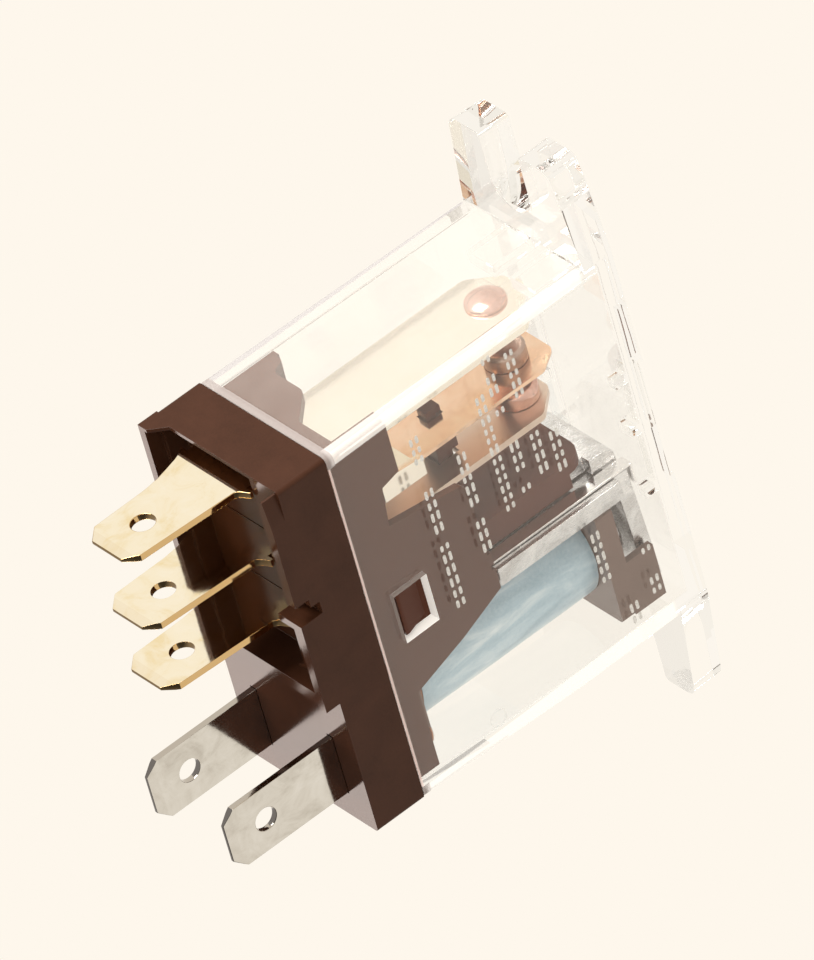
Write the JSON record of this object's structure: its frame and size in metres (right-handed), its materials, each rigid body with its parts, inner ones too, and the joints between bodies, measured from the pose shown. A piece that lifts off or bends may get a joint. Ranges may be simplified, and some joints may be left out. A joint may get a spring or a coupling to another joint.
{
  "type": "plug in relay",
  "caption": "Slim power relay in a clear cover with a slotted mounting flange, a changeover contact set and blade tabs for push-on connectors.",
  "frame": {"origin": "centre of the flange's outer mounting face", "axes": "+Z from the mounting face towards the tabs, +X from the coil end towards the contact end, Y across the narrow width"},
  "size_m": [0.0447, 0.013, 0.0381],
  "materials": {
    "clear_cover": "clear moulded plastic",
    "base_plastic": "dark brown satin moulding",
    "bobbin_plastic": "dark brown",
    "gold_plate": "bright gold coloured plating",
    "tin_plate": "bright tin plating",
    "nickel_steel": "nickel plated iron",
    "copper_alloy": "bare copper alloy strip",
    "contact_silver": "silver alloy",
    "rivet_copper": "copper rivet with a silver face",
    "enamelled_copper": "enamelled wire",
    "coil_tape": "blue insulating tape"
  },
  "bodies": {
    "housing": {"cover": "clear_cover", "base": "base_plastic", "bobbin": "bobbin_plastic", "coil_winding": "enamelled_copper", "coil_tape": "coil_tape", "core": "nickel_steel", "yoke": "nickel_steel", "hinge_spring": "nickel_steel", "hinge_rivet": "nickel_steel", "terminal_normally_open": "gold_plate", "terminal_common": "gold_plate", "terminal_normally_closed": "gold_plate", "fixed_contact_open": "rivet_copper", "fixed_contact_closed": "rivet_copper", "spring_rivet_front": "rivet_copper", "spring_rivet_rear": "rivet_copper", "coil_terminal_front": "tin_plate", "coil_terminal_rear": "tin_plate", "coil_lead_front": "enamelled_copper", "coil_lead_rear": "enamelled_copper"},
    "armature_group": {"armature": "nickel_steel", "pusher_card": "bobbin_plastic"},
    "contact_group": {"moving_spring": "copper_alloy", "moving_contact": "contact_silver"}
  },
  "joints": [
    {"name": "armature_hinge", "type": "hinge", "parent": "housing", "child": "armature_group", "pos_m": [-0.00285, 0, 0.00375], "axis": [0, 1, 0], "range_deg": [0, 2.5], "stiffness_Nm_per_rad": 0.005, "springref_deg": -17.19},
    {"name": "spring_flex", "type": "hinge", "parent": "housing", "child": "contact_group", "pos_m": [0.00672, 0, 0.0193], "axis": [0, -1, 0], "range_deg": [0, 3.8]}
  ],
  "couplings": [
    {"joint": "spring_flex", "follows": "armature_hinge", "ratio": 1.5}
  ]
}
